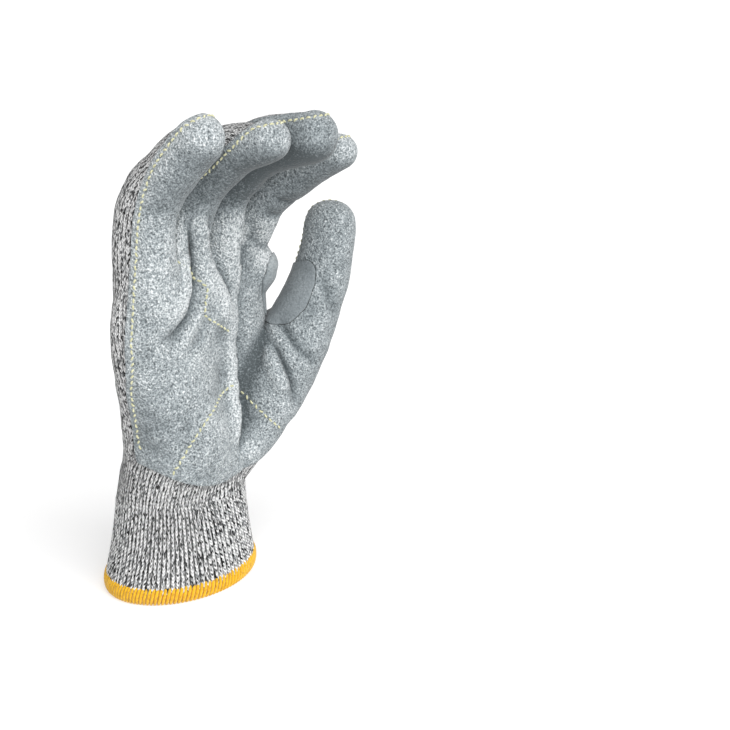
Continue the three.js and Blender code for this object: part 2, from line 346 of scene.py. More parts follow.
def near_path(points, normals, path, fade):
    """How far points lie from a path over the surface: in all, and to its thumb side.

    The third value falls to 0 within fade of the path's ends. The last is the way across the path."""
    path = smooth_path(path)
    best = np.full(len(points), np.inf)
    sideways, travelled = np.zeros(len(points)), np.zeros(len(points))
    side_way = np.zeros_like(points)
    start = 0.0
    for a, b in zip(path[:-1], path[1:]):
        step = np.linalg.norm(b - a)
        share = np.clip(((points - a) @ (b - a)) / step**2, 0, 1)
        away = points - a - share[:, None] * (b - a)
        far = np.linalg.norm(away, axis=1)
        across_path = np.cross(normals, (b - a) / step)
        across_path /= np.maximum(np.linalg.norm(across_path, axis=1), 1e-6)[:, None]
        nearer = far < best
        best = np.where(nearer, far, best)
        sideways = np.where(nearer, np.sign((away * across_path).sum(1)) * far, sideways)
        travelled = np.where(nearer, start + share * step, travelled)
        side_way[nearer] = across_path[nearer]
        start += step
    ends = np.clip(np.minimum(travelled, start - travelled) / fade, 0, 1)
    return best, sideways, ends * ends * (3 - 2 * ends), side_way


# Ridges and creases of the filled glove, each along a path: how high it stands and how wide it is.
ridges = [
    (2.3, 2.4, [(33, -20, 111), (30, -28, 104), (30.5, -34, 97.5), (35, -39, 91), (41, -40, 85)]),
    (-1.8, 2.4, [(36, -23, 111), (33, -30.5, 105), (34, -35.5, 100), (38, -39, 95), (44, -41, 88)]),
    (
        -2.6, 2.3,
        [(29.5, -24, 104), (28.6, -29, 98), (28.8, -32, 92.5), (30.5, -35, 85), (33, -36, 77), (37, -36, 68)],
    ),
    (2.1, 2.6, [(28, -22, 102), (25.5, -28, 95), (26, -32, 88), (28, -34, 79)]),
    (1.9, 1.9, [(-9, -22, 126), (-14, -22, 121), (-20, -21, 115), (-27, -21, 109)]),
    (-1.6, 2.4, [(-5, -22, 124), (-10, -22, 118), (-16, -22, 111), (-24, -22, 104)]),
    (-1.5, 1.9, [(20, -22, 159), (26, -25, 157), (33, -25, 156)]),
    (1.0, 2.4, [(21, -19, 154), (27, -22, 152), (33, -22, 152)]),
    (-1.3, 2.0, [(22, -28, 166), (29, -32, 164), (36, -30, 166)]),
    (-1.5, 3.0, [(43, -37, 136), (46, -39, 127), (49, -42, 118), (54, -43, 108)]),
    (-1.2, 3.2, [(36, -34, 107), (41, -37, 116), (45, -39, 124)]),
    (-1.1, 2.3, [(-12, -22, 150), (-6, -24, 148), (-2, -22, 149)]),
    (-1.1, 2.3, [(4, -22, 148), (10, -24, 146), (17, -22, 147)]),
    (-0.9, 2.5, [(-34, -24, 172), (-28, -26, 170), (-23, -24, 172)]),
    (5.0, 5.5, [(34, -15, 142), (36, -14, 131), (37, -13, 120)]),
]
# Folds, where the filled side overhangs the side towards the thumb: how high the one stands and how deep
# the other lies, how wide each is, and how far the edge leans over.
folds = [
    (
        3.0, 6.4, 13, 15, 2.2,
        [
            (15, -20, 160), (12, -21, 152), (10, -21, 144), (11, -21, 133), (10, -20, 120), (9, -19, 104),
            (10, -20, 87), (10, -22, 71), (7, -24, 56),
        ],
    ),
    (
        2.2, 4.0, 9, 8, 1.4,
        [(-14, -25, 165), (-12, -23, 156), (-9, -22, 146), (-2, -21, 134), (4, -20, 122), (7, -20, 112)],
    ),
    (
        2.2, 4.4, 10, 9, 1.4,
        [
            (-27, -20, 160), (-21, -17, 150), (-19, -19, 138), (-21, -20, 130), (-27, -20, 121),
            (-36, -18, 114),
        ],
    ),
    (0.5, 2.2, 6, 4, 0.4, [(17, -17, 148), (23, -19, 144), (29, -20, 140), (34, -17, 139), (39, -10, 141)]),
]
ridge_end, fold_end = 9, 16
fold_edge = 1.5
lean_width = 3
ripples = [(0.5, 12), (0.25, 5)]
last_pull = 0.4

# Where the fingers leave the palm, the skin is smoothed further, so that only the folds shape it.
zone_low, zone_high, zone_fade = 98, 156, 14
zone_turns, zone_pull = 45, 0.6
faces_palm = np.clip(0.5 - point_normals(hand, quads)[:, 1] * 2, 0, 1)
above_zone = np.clip((hand[:, 2] - zone_low) / zone_fade, 0, 1)
below_zone = np.clip((zone_high - hand[:, 2]) / zone_fade, 0, 1)
in_zone = (faces_palm * (above_zone * below_zone))[:, None]
for turn in range(zone_turns):
    hand += zone_pull * in_zone * (neighbour_mean(hand, quads) - hand)

hand_normals = smoothed(point_normals(hand, quads), 4)
hand_normals /= np.linalg.norm(hand_normals, axis=1)[:, None]
raise_by = np.zeros(len(hand))
lean_by = np.zeros_like(hand)
for height, width, path in ridges:
    far, _, fade, _ = near_path(hand, hand_normals, path, ridge_end)
    raise_by += height * fade * np.exp(-((far / width) ** 2))
for height, depth, wide, deep_wide, lean, path in folds:
    far, sideways, fade, side_way = near_path(hand, hand_normals, path, fold_end)
    low_side = 0.5 + 0.5 * np.tanh(sideways / fold_edge)
    raise_by += fade * (1 - low_side) * height * np.exp(-((far / wide) ** 2))
    raise_by -= fade * low_side * depth * np.exp(-((far / deep_wide) ** 2))
    lean_by += side_way * (fade * (1 - low_side) * lean * np.exp(-((far / lean_width) ** 2)))[:, None]
for i, place in enumerate(hand):
    raise_by[i] += sum(height * noise.noise(Vector(place) / length) for height, length in ripples)
hand += hand_normals * raise_by[:, None] + lean_by
hand += last_pull * (neighbour_mean(hand, quads) - hand)

# The tightest creases are opened a little, so that the leather over them doesn't run into itself.
tight_pull = 0.13
tight_turns, let_open = 10, 0.5
for turn in range(tight_turns):
    pull = neighbour_mean(hand, quads) - hand
    sharp = np.clip((pull * point_normals(hand, quads)).sum(1) / tight_pull - 1, 0, 1)
    hand += let_open * sharp[:, None] * pull
hand_normals = point_normals(hand, quads)


def nearness(off, reach):
    """1 on a form and inside it, and less and less within reach outside it."""
    return np.exp(-((np.maximum(off, 0) / reach) ** 2))


# What each point of the hand belongs to, and how far inside the leather's edge it lies.
blend_reach = 2.5
on_palm = along_palm(hand)
on_arms = {name: along_arm(hand, arm) for name, arm in arms.items()}
palm_edge = on_palm["little_edge"] + (on_palm["thumb_edge"] - on_palm["little_edge"]) * (on_palm["u"] + 1) / 2
palm_inside = on_palm["y"] + palm_edge - hand[:, 1]
insides = np.array([palm_inside] + [place["inside_edge"] for place in on_arms.values()])
closeness = np.array([nearness(place["off"], blend_reach) for place in (on_palm, *on_arms.values())]) + 1e-6
leather_inside = (closeness * insides).sum(0) / closeness.sum(0)

# The wales run up the hand and along each finger. Their count round each tube stays the same. Near the
# cuff they follow its ribs, which lean at the heel of the thumb.
palm_wales = 92
digit_wales = {"thumb": 40, "pinky": 34, "ring": 34, "middle": 36, "index": 36}
course = 1.5
round_steps = 240
rib_lean, lean_turn = 0.14, 0.7
cuff_wales_below, cuff_wales_fade = 70, 26
palm_lead = 0.4
arc_share = []
for i in range(sections):
    ring = palm_ring(i, round_steps)
    gaps = np.linalg.norm(np.roll(ring, -1, axis=0) - ring, axis=1)
    arc_share.append(np.concatenate([[0], np.cumsum(gaps)]) / gaps.sum())
arc_share = np.array(arc_share)


def palm_wale(points):
    """Wale and course numbers of points on the palm and the back of the hand."""
    rows = along_palm(points)
    cos_part = signed_power(rows["u"], palm_roundness / 2)
    sin_part = signed_power(rows["v"], palm_roundness / 2)
    turn = (np.arctan2(sin_part, cos_part) / (2 * np.pi)) % 1 * round_steps
    section = np.clip(np.interp(points[:, 2], palm_fine["z"], np.arange(sections)), 0, sections - 1.001)
    i, k = section.astype(int), np.minimum(turn.astype(int), round_steps - 1)
    f, g = section - i, turn - k
    low = arc_share[i, k] * (1 - g) + arc_share[i, k + 1] * g
    high = arc_share[i + 1, k] * (1 - g) + arc_share[i + 1, k + 1] * g
    share = low * (1 - f) + high * f
    leaning = np.cos(turn / round_steps * np.pi + lean_turn) ** 8 * rib_lean
    cuff_share = turn / round_steps + leaning / (2 * np.pi)
    near_cuff = np.clip((cuff_wales_below - points[:, 2]) / cuff_wales_fade, 0, 1)
    near_cuff = near_cuff**2 * (3 - 2 * near_cuff)
    return (share + (cuff_share - share) * near_cuff) * palm_wales + 0.5, points[:, 2] / course


def hand_uv(points, quads):
    """Wale and course numbers for every corner of every face."""
    middles = points[quads].mean(1)
    offs = [along_palm(middles)["off"] - palm_lead]
    offs += [along_arm(middles, arms[name])["off"] for name in digit_wales]
    owner = np.argmin(offs, axis=0)
    corners = points[quads].reshape(-1, 3)
    u, v = palm_wale(corners)
    middle_u = palm_wale(middles)[0]
    count = np.full(len(quads), palm_wales, float)
    for k, (name, wales) in enumerate(digit_wales.items(), 1):
        place = along_arm(corners, arms[name])
        mine = np.repeat(owner == k, 4)
        u[mine] = (place["round"][mine] / (2 * np.pi)) % 1 * wales
        v[mine] = (place["length"][mine] + arms[name]["z"][0]) / course
        centre = along_arm(middles, arms[name])
        middle_u = np.where(owner == k, (centre["round"] / (2 * np.pi)) % 1 * wales, middle_u)
        count[owner == k] = wales
    count, middle_u = np.repeat(count, 4), np.repeat(middle_u, 4)
    u -= np.round((u - middle_u) / count) * count
    return np.column_stack([u, v])


def clip(faces, field):
    """Cuts faces along field = 0 and keeps what lies above it.

    Gives each new point as two old ones and the share between them, the new faces, and the cut's edges."""
    above = field > 0
    whole = above[faces].all(1)
    crossed = above[faces].any(1) & ~whole
    number, pairs, kept, cuts = {}, [], [], []

    def point_for(a, b):
        key = (a, b) if a < b else (b, a)
        if key not in number:
            number[key] = len(pairs)
            low, high = field[key[0]], field[key[1]]
            pairs.append((*key, low / (low - high) if a != b else 0.0))
        return number[key]

    for face in faces[whole]:
        kept.append([point_for(i, i) for i in face.tolist()])
    for face in faces[crossed]:
        corners, met = [], []
        for a, b in zip(face.tolist(), np.roll(face, -1).tolist()):
            if above[a]:
                corners.append(point_for(a, a))
            if above[a] != above[b]:
                met.append(point_for(a, b))
                corners.append(met[-1])
        kept.append(corners)
        cuts += [met[i : i + 2] for i in range(0, len(met) - 1, 2)]
    first, second, share = (np.array(column) for column in zip(*pairs))
    return (first, second, share[:, None]), kept, cuts


def between(values, pairs):
    """Values of the old points at the new ones that clip gives."""
    first, second, share = pairs
    values = values if values.ndim > 1 else values[:, None]
    return values[first] + (values[second] - values[first]) * share


class Wire:
    """A node's socket. Sums on it add Math nodes to the same tree."""

    def __init__(self, tree, socket=None):
        self.tree = tree
        self.socket = socket

    def node(self, kind, settings=None, sockets=None, output=0):
        made = self.tree.nodes.new(kind)
        for name, value in (settings or {}).items():
            if name == "stops":
                ramp = made.color_ramp
                while len(ramp.elements) < len(value):
                    ramp.elements.new(0.5)
                for element, (place, colour) in zip(ramp.elements, value):
                    element.position = place
                    element.color = (*colour, 1)
            else:
                setattr(made, name, value)
        for name, value in (sockets or {}).items():
            if isinstance(value, Wire):
                self.tree.links.new(value.socket, made.inputs[name])
            else:
                made.inputs[name].default_value = value
        return Wire(self.tree, made.outputs[output])

    def output(self, name):
        return Wire(self.tree, self.socket.node.outputs[name])

    def maths(self, operation, *terms):
        return self.node("ShaderNodeMath", {"operation": operation}, dict(enumerate(terms)))

    def __add__(self, other):
        return self.maths("ADD", self, other)

    def __sub__(self, other):
        return self.maths("SUBTRACT", self, other)

    def __rsub__(self, other):
        return self.maths("SUBTRACT", other, self)

    def __mul__(self, other):
        return self.maths("MULTIPLY", self, other)

    def __truediv__(self, other):
        return self.maths("DIVIDE", self, other)

    def __pow__(self, other):
        return self.maths("POWER", self, other)

    __radd__ = __add__
    __rmul__ = __mul__


def new_material(name, roughness, sheen):
    """A material with a Principled shader, and a wire to add nodes with."""
    made = bpy.data.materials.new(name)
    made.use_nodes = True
    shader = made.node_tree.nodes["Principled BSDF"]
    shader.inputs["Roughness"].default_value = roughness
    shader.inputs["Sheen Weight"].default_value = sheen
    shader.inputs["Sheen Roughness"].default_value = 0.5
    shader.inputs["Specular IOR Level"].default_value = 0.25
    return made, shader, Wire(made.node_tree)


def feed(shader, name, wire):
    wire.tree.links.new(wire.socket, shader.inputs[name])


def grey(value):
    return (value, value, value)


# The shading's valleys between the ribs fade out over these courses, where the hand begins.
rib_fade = (34, 44)
stitch_rise = 1.5
flecks_across, flecks_up = 4, 1.4
marl_greys = [(0.14, grey(0.02)), (0.26, (0.22, 0.23, 0.238)), (0.4, (0.64, 0.655, 0.66)), (0.6, grey(0.98))]


def marl_knit_material():
    """V stitches from the wale and course numbers, each leg light, grey or nearly black as the yarn turns."""
    made, shader, wire = new_material("marl_knit", 0.95, 0.1)
    place = wire.node("ShaderNodeUVMap", {"uv_map": "wales"})
    split = wire.node("ShaderNodeSeparateXYZ", sockets={0: place})
    wale, row = split, split.output("Y")
    across = wire.maths("ABSOLUTE", wire.maths("FRACT", wale) - 0.5)
    climbed = row - across * stitch_rise
    strand = wire.maths("COSINE", climbed * (2 * math.pi)) * -0.5 + 0.5
    leg = wire.maths("SINE", across * (2 * math.pi))
    height = (strand**0.6) * (leg**0.6 * 0.8 + 0.2)
    fleck = wire.node(
        "ShaderNodeCombineXYZ",
        sockets={
            0: wire.maths("FLOOR", wale * flecks_across),
            1: wire.maths("FLOOR", climbed * flecks_up),
        },
    )
    chance = wire.node("ShaderNodeTexWhiteNoise", {"noise_dimensions": "2D"}, {"Vector": fleck}, "Value")
    twist = wire.node(
        "ShaderNodeTexNoise", {"noise_dimensions": "2D"}, {"Vector": place, "Scale": 1.6, "Detail": 1.0}
    )
    shade = chance * 0.95 + twist * 0.25 - 0.1
    yarn = wire.node("ShaderNodeValToRGB", {"stops": marl_greys}, {0: shade})
    gap = wire.node(
        "ShaderNodeCombineXYZ", sockets={0: wire.maths("ROUND", wale), 1: wire.maths("FLOOR", row)}
    )
    dash = wire.node("ShaderNodeTexWhiteNoise", {"noise_dimensions": "2D"}, {"Vector": gap}, "Value")
    rib = wire.maths("ABSOLUTE", wire.maths("SINE", wale * math.pi))
    ribbed = wire.node(
        "ShaderNodeMapRange", sockets={"Value": row, "From Min": rib_fade[1], "From Max": rib_fade[0]}
    )
    valley = (1 - rib) ** 2.2 * ribbed
    dashed = wire.node(
        "ShaderNodeMapRange", sockets={"Value": dash, "From Min": 0.25, "From Max": 0.5, "To Min": 0.15}
    )
    groove = (across * 2) ** 2.4 * dashed
    shadow = (height * 0.45 + 0.55) * (1 - groove * 0.93) * (1 - valley * 0.5)
    height = height + rib * ribbed * 1.5
    colour = wire.node(
        "ShaderNodeMix", {"data_type": "RGBA", "blend_type": "MULTIPLY"}, {0: 1.0, 6: yarn, 7: shadow}, 2
    )
    feed(shader, "Base Color", colour)
    bump = wire.node("ShaderNodeBump", sockets={"Height": height, "Strength": 1.0, "Distance": 0.6 * mm})
    feed(shader, "Normal", bump)
    return made


marl_knit = marl_knit_material()


def add_uv(mesh, values):
    layer = mesh.uv_layers.new(name="wales")
    layer.data.foreach_set("uv", np.asarray(values, float).ravel())


def smooth_shaded(mesh):
    mesh.polygons.foreach_set("use_smooth", [True] * len(mesh.polygons))
    mesh.update()


def dressed(piece, material, slot, *nodes):
    """Gives a finished piece its material, its body and the solids it stands for. The slot is not used."""
    piece.data.materials.clear()
    piece.data.materials.append(material)
    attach(piece, "root")
    if nodes:
        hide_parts(*nodes)


def walled(piece, thickness, offset):
    """Gives a sheet its thickness, inwards where offset is -1 and outwards where it is 1."""
    wall = piece.modifiers.new("wall", "SOLIDIFY")
    wall.thickness = thickness * mm
    wall.offset = offset
    wall.use_quality_normals = True


# The hand is open at the wrist, a little below the cuff's top. clip gives the whole faces first, so their
# corners keep hand_uv's numbers, and the corners of the faces cut at the rim get numbers of their own.
hand_rim_z = wrist_z - 1
hand_above = hand[:, 2] - hand_rim_z
pairs, hand_faces, _ = clip(quads, hand_above)
hand_points = between(hand, pairs)
open_hand = new_object("knit_hand", hand_points, hand_faces)
smooth_shaded(open_hand.data)
whole_faces = (hand_above > 0)[quads].all(1)
whole_uv = hand_uv(hand, quads).reshape(-1, 4, 2)[whole_faces].reshape(-1, 2)
loop_points = np.empty(len(open_hand.data.loops), int)
open_hand.data.loops.foreach_get("vertex_index", loop_points)
rim_uv = np.column_stack(palm_wale(hand_points[loop_points[len(whole_uv) :]]))
add_uv(open_hand.data, np.vstack([whole_uv, rim_uv]))
walled(open_hand, knit_wall, -1)
dressed(
    open_hand, marl_knit, "marl_knit",
    "knit_body", "knit_thumb", "knit_pinky", "knit_ring", "knit_middle", "knit_index",
)

# The ribbed cuff. It is knitted in one with the hand, in ribs that stand a little apart, and narrows from
# its edge to the wrist.
ribs = 92
rib_depth = 0.85
rib_roundness = 0.8
rib_end_rate, rib_end_blend = 6, 0.3
flare_power = 1.5
cuff_low = 5
cuff_high = 42
points_per_rib = 6
cuff_rows = 40
tuck_from = 0.9
tuck_rate = 9


def node_tree(name, inputs):
    """An empty Geometry Nodes tree with named inputs, and a wire to add nodes with."""
    tree = bpy.data.node_groups.new(name, "GeometryNodeTree")
    tree.interface.new_socket("Geometry", in_out="INPUT", socket_type="NodeSocketGeometry")
    for label, (kind, value) in inputs.items():
        socket = tree.interface.new_socket(label, in_out="INPUT", socket_type=kind)
        if value is not None:
            socket.default_value = value
    tree.interface.new_socket("Geometry", in_out="OUTPUT", socket_type="NodeSocketGeometry")
    entry = tree.nodes.new("NodeGroupInput")
    return tree, Wire(tree), {label: Wire(tree, entry.outputs[label]) for label in ("Geometry", *inputs)}


def finish_tree(wire, geometry, material):
    """Ends a tree in real geometry with a material."""
    solid = wire.node("GeometryNodeRealizeInstances", sockets={0: geometry})
    coloured = wire.node("GeometryNodeSetMaterial", sockets={"Geometry": solid, "Material": material})
    leaving = wire.tree.nodes.new("NodeGroupOutput")
    wire.tree.links.new(coloured.socket, leaving.inputs[0])


def grown(shape, tree, inputs):
    """Runs a tree on an object and keeps the result as its plain mesh."""
    modifier = shape.modifiers.new(tree.name, "NODES")
    modifier.node_group = tree
    names = {item.name: item.identifier for item in tree.interface.items_tree if item.in_out == "INPUT"}
    for label, value in inputs.items():
        modifier[names[label]] = value
    shape.data.update()
    made = evaluated(shape)
    shape.modifiers.remove(modifier)
    shape.data = made


def cuff_tree():
    """The ribbed tube, from its flared edge to the wrist, where it tucks in under the hand."""
    floats = {
        "Low": cuff_low, "High": cuff_high, "Wrist half width": 31.2, "Wrist half depth": 22.2,
        "Flare wide": 7.0, "Flare deep": 5.0, "Rib depth": rib_depth,
    }
    inputs = {label: ("NodeSocketFloat", float(value)) for label, value in floats.items()}
    inputs["Ribs"] = ("NodeSocketInt", ribs)
    inputs["Material"] = ("NodeSocketMaterial", None)
    tree, wire, given = node_tree("ribbed cuff", inputs)
    grid = wire.node(
        "GeometryNodeMeshGrid",
        sockets={
            "Size X": 1.0,
            "Size Y": 1.0,
            "Vertices X": ribs * points_per_rib + 1,
            "Vertices Y": cuff_rows,
        },
        output="Mesh",
    )
    spot = wire.node("ShaderNodeSeparateXYZ", sockets={0: wire.node("GeometryNodeInputPosition")})
    turn = (spot + 0.5) * (2 * math.pi)
    high = spot.output("Y") + 0.5
    open_share = (1 - high) ** flare_power
    lean = wire.maths("COSINE", turn * 0.5 + lean_turn) ** 8 * high * high * rib_lean
    rib = wire.maths("ABSOLUTE", wire.maths("COSINE", (turn + lean) * given["Ribs"] * 0.5))
    fade = wire.maths("SMOOTH_MIN", (1 - high) * rib_end_rate, 1.0, rib_end_blend)
    tuck = wire.maths("MAXIMUM", high - tuck_from, 0.0) * -tuck_rate
    out = (rib**rib_roundness - 1) * given["Rib depth"] * fade + tuck
    half_width = given["Wrist half width"] + given["Flare wide"] * open_share + out
    half_depth = given["Wrist half depth"] + given["Flare deep"] * open_share + out
    z = given["Low"] + (given["High"] - given["Low"]) * high
    roundness = wire.maths("DIVIDE", 2.0, high * (palm_roundness - 2) + 2)

    def bulged(wave):
        value = wire.maths(wave, turn)
        return wire.maths("SIGN", value) * wire.maths("ABSOLUTE", value) ** roundness

    place = wire.node(
        "ShaderNodeCombineXYZ",
        sockets={
            0: bulged("COSINE") * half_width * mm,
            1: bulged("SINE") * half_depth * mm,
            2: z * mm,
        },
    )
    stored = wire.node(
        "GeometryNodeStoreNamedAttribute",
        {"data_type": "FLOAT2", "domain": "CORNER"},
        {
            "Geometry": grid,
            "Name": "wales",
            "Value": wire.node(
                "ShaderNodeCombineXYZ",
                sockets={0: (turn + lean) * (palm_wales / (2 * math.pi)) + 0.5, 1: z / course},
            ),
        },
    )
    moved = wire.node("GeometryNodeSetPosition", sockets={"Geometry": stored, "Position": place})
    merged = wire.node("GeometryNodeMergeByDistance", sockets={"Geometry": moved, "Distance": 0.01 * mm})
    shaded = wire.node("GeometryNodeSetShadeSmooth", sockets={"Geometry": merged})
    finish_tree(wire, shaded, given["Material"])
    return tree


cuff = new_object("ribbed_cuff", [(0, 0, 0)], [])
grown(cuff, cuff_tree(), {"Material": marl_knit})
walled(cuff, knit_wall, -1)
dressed(cuff, marl_knit, "marl_knit", "rib_cuff")

# The overlocked edge. The cuff's raw edge is rolled and wrapped with yellow yarn in slanting turns.
hem_half_width = 36.8
hem_half_depth = 25.8
hem_middle_z = 3.7
hem_turns = 118
wrap_height = 3.1
wrap_depth = 1.45
wrap_slant = 0.35
wrap_roundness = 0.8
yarn_radius = 0.68
steps_per_wrap = 18


def yellow_material(name, stops, scale):
    """Spun thread or yarn, mottled as its fibres turn."""
    made, shader, wire = new_material(name, 0.8, 0.3)
    place = wire.node("ShaderNodeTexCoord", output="Object")
    fibre = wire.node("ShaderNodeTexNoise", sockets={"Vector": place, "Scale": scale, "Detail": 3.0})
    colour = wire.node("ShaderNodeValToRGB", {"stops": stops}, {0: fibre})
    feed(shader, "Base Color", colour)
    bump = wire.node("ShaderNodeBump", sockets={"Height": fibre, "Strength": 0.5, "Distance": 0.2 * mm})
    feed(shader, "Normal", bump)
    return made


yarn_yellows = [(0.3, (0.44, 0.225, 0.005)), (0.5, (0.62, 0.345, 0.008)), (0.72, (0.7, 0.41, 0.012))]
# The roll under the wraps takes the same yarn in darker yellows, as painted shade between the turns.
roll_painted_shade_yellows = [(0.3, (0.3, 0.12, 0.004)), (0.7, (0.48, 0.22, 0.01))]
hem_yellow = yellow_material("yellow_yarn", yarn_yellows, 900)
hem_painted_shade = yellow_material("yellow_yarn_painted_shade", roll_painted_shade_yellows, 900)


def sweep_tree():
    """A round yarn swept along the edges of a mesh."""
    inputs = {
        "Radius": ("NodeSocketFloat", 0.5 * mm),
        "Sides": ("NodeSocketInt", 8),
        "Material": ("NodeSocketMaterial", None),
    }
    tree, wire, given = node_tree("swept yarn", inputs)
    path = wire.node("GeometryNodeMeshToCurve", sockets={0: given["Geometry"]})
    ring = wire.node(
        "GeometryNodeCurvePrimitiveCircle",
        sockets={"Resolution": given["Sides"], "Radius": given["Radius"]},
    )
    tube = wire.node(
        "GeometryNodeCurveToMesh", sockets={"Curve": path, "Profile Curve": ring, "Fill Caps": True}
    )
    shaded = wire.node("GeometryNodeSetShadeSmooth", sockets={"Geometry": tube})
    finish_tree(wire, shaded, given["Material"])
    return tree


def hem_points(turn, outward, lift):
    """Points round the middle of the rolled edge, moved outward and up."""
    x = np.cos(turn) * (hem_half_width + outward)
    y = np.sin(turn) * (hem_half_depth + outward)
    return np.column_stack([x, y, hem_middle_z + lift])


yarn_tree = sweep_tree()
wrap_steps = hem_turns * steps_per_wrap
share = np.arange(wrap_steps) / wrap_steps
phase = 2 * np.pi * hem_turns * share
girth = np.pi * (hem_half_width + hem_half_depth)
turn = 2 * np.pi * share + wrap_slant / (girth / (2 * np.pi)) * np.sin(phase)
outward = signed_power(np.cos(phase), wrap_roundness) * wrap_depth
helix = hem_points(turn, outward, np.sin(phase) * wrap_height)
wraps = new_object("hem_wraps", helix, [], [(i, (i + 1) % wrap_steps) for i in range(wrap_steps)])
grown(wraps, yarn_tree, {"Radius": yarn_radius * mm, "Sides": 7, "Material": hem_yellow})
dressed(wraps, hem_yellow, "yellow_yarn", "cuff_hem")

roll_steps, roll_sides = 160, 12
roll_turn = np.repeat(np.linspace(0, 2 * np.pi, roll_steps, endpoint=False), roll_sides)
bend = np.tile(np.linspace(0, 2 * np.pi, roll_sides, endpoint=False), roll_steps)
roll_points = hem_points(roll_turn, np.cos(bend) * wrap_depth, np.sin(bend) * wrap_height)
roll_faces = []
for i in range(roll_steps):
    here, beyond = i * roll_sides, (i + 1) % roll_steps * roll_sides
    for k in range(roll_sides):
        after = (k + 1) % roll_sides
        roll_faces.append((here + k, beyond + k, beyond + after, here + after))
# The rolled edge under the wraps, in the darker yellows of painted shade.
roll = new_object("hem_roll", roll_points, roll_faces)
smooth_shaded(roll.data)
dressed(roll, hem_painted_shade, "yellow_yarn")

# The leather palm. One sheet of blue-grey split leather with a suede nap lies over the palm, the fronts of
# the fingers and the thumb, and is sewn down round its edge.
leather_wall = 1.3
leather_gap = 0.3
low_edge = {"half_width": 32.5, "height": 20, "z": 48, "side_half_width": 90, "side_z": 88}
bowl_rate, side_rate, above_bowl = 1.3, 0.95, 4
leather_greys = [
    (0.2, (0.06, 0.072, 0.077)), (0.4, (0.18, 0.205, 0.216)), (0.6, (0.34, 0.373, 0.386)),
    (0.85, (0.72, 0.75, 0.76)),
]

# The crotch patch's place and outline, seen straight on, because the sheet is cut away under it.
patch_gap = 0.2
patch_at = np.array([51.2, -15.2, 116.5])
patch_right, patch_up = np.array([0.643, -0.766, 0.0]), np.array([0.211, 0.177, 0.961])
patch_outline = [
    (-11.5, 7.5), (9.9, 14.6), (11.6, 12.6), (12.3, 10.2), (11.6, 4.2), (7.9, -5.5), (1.9, -12.3),
    (-5.8, -13.8), (-10.5, -9.3), (-12, -1),
]
patch_tab = {"across": -4.5, "up": 8.5, "half_width": 5.5, "half_height": 10}


def above_low_edge(points):
    """How far points lie above the leather's rounded lower edge."""
    half_width, height = low_edge["half_width"], low_edge["height"]
    middle_z = low_edge["z"] + height
    x, z = np.abs(points[:, 0]), points[:, 2] - middle_z
    radius = np.sqrt((x / half_width) ** 2 + (np.minimum(z, 0) / height) ** 2)
    in_bowl = (1 - radius) * height * bowl_rate
    slope = (low_edge["side_z"] - middle_z) / (low_edge["side_half_width"] - half_width)
    over_side = (z - (x - half_width) * slope) * side_rate
    return np.where(x > half_width, over_side, np.where(z > 0, z + above_bowl, in_bowl))


def inside_patch(points):
    """How far points lie inside the patch: a strip on the thumb, and a tab on the index finger's root."""
    across, up = (points - patch_at) @ patch_right, (points - patch_at) @ patch_up
    strip = np.full(len(points), np.inf)
    for (x, y), (next_x, next_y) in zip(patch_outline, patch_outline[1:] + patch_outline[:1]):
        run, rise = next_x - x, next_y - y
        strip = np.minimum(strip, (rise * (across - x) - run * (up - y)) / math.hypot(run, rise))
    wide, high = patch_tab["half_width"], patch_tab["half_height"]
    from_tab = np.hypot((across - patch_tab["across"]) / wide, (up - patch_tab["up"]) / high)
    return np.maximum(strip, (1 - from_tab) * min(wide, high))


in_patch = inside_patch(hand)
above_edge = above_low_edge(hand)
leather_field = smoothed(np.minimum(np.minimum(leather_inside, above_edge), -in_patch - patch_gap), 2)


def split_leather_material(name, stops, nap):
    """Split leather: a mottled suede nap at three scales, lighter and darker by its painted shading, and
    flatter where that shading is dark.
    """
    made, shader, wire = new_material(name, 0.92, 0.2)
    place = wire.node("ShaderNodeTexCoord", output="Object")
    fine = wire.node("ShaderNodeTexNoise", sockets={"Vector": place, "Scale": 1500.0, "Detail": 1.0})
    clumps = wire.node("ShaderNodeTexNoise", sockets={"Vector": place, "Scale": 900.0, "Detail": 2.0})
    clouds = wire.node("ShaderNodeTexNoise", sockets={"Vector": place, "Scale": 60.0, "Detail": 3.0})
    # The painted shading lightens or darkens the nap's grey, and where it is painted dark the mottling and
    # the bump are flattened.
    rub = wire.node("ShaderNodeAttribute", {"attribute_name": "rub"}, output="Fac")
    raised = rub * 1.4 + 1
    flattened = wire.maths("MAXIMUM", wire.maths("MINIMUM", raised, 1.0), 0.6)
    shade = ((fine - 0.5) * 0.95 + (clumps - 0.5) * 0.7) * flattened * nap + clouds * 0.12 + rub * 0.5 + 0.445
    colour = wire.node("ShaderNodeValToRGB", {"stops": stops}, {0: shade})
    feed(shader, "Base Color", colour)
    height = (fine * 0.5 + clumps) * wire.maths("MAXIMUM", raised, 0.3)
    bump = wire.node("ShaderNodeBump", sockets={"Height": height, "Strength": nap, "Distance": 1.1 * mm})
    feed(shader, "Normal", bump)
    return made


palm_leather = split_leather_material("split_leather", leather_greys, 1.0)
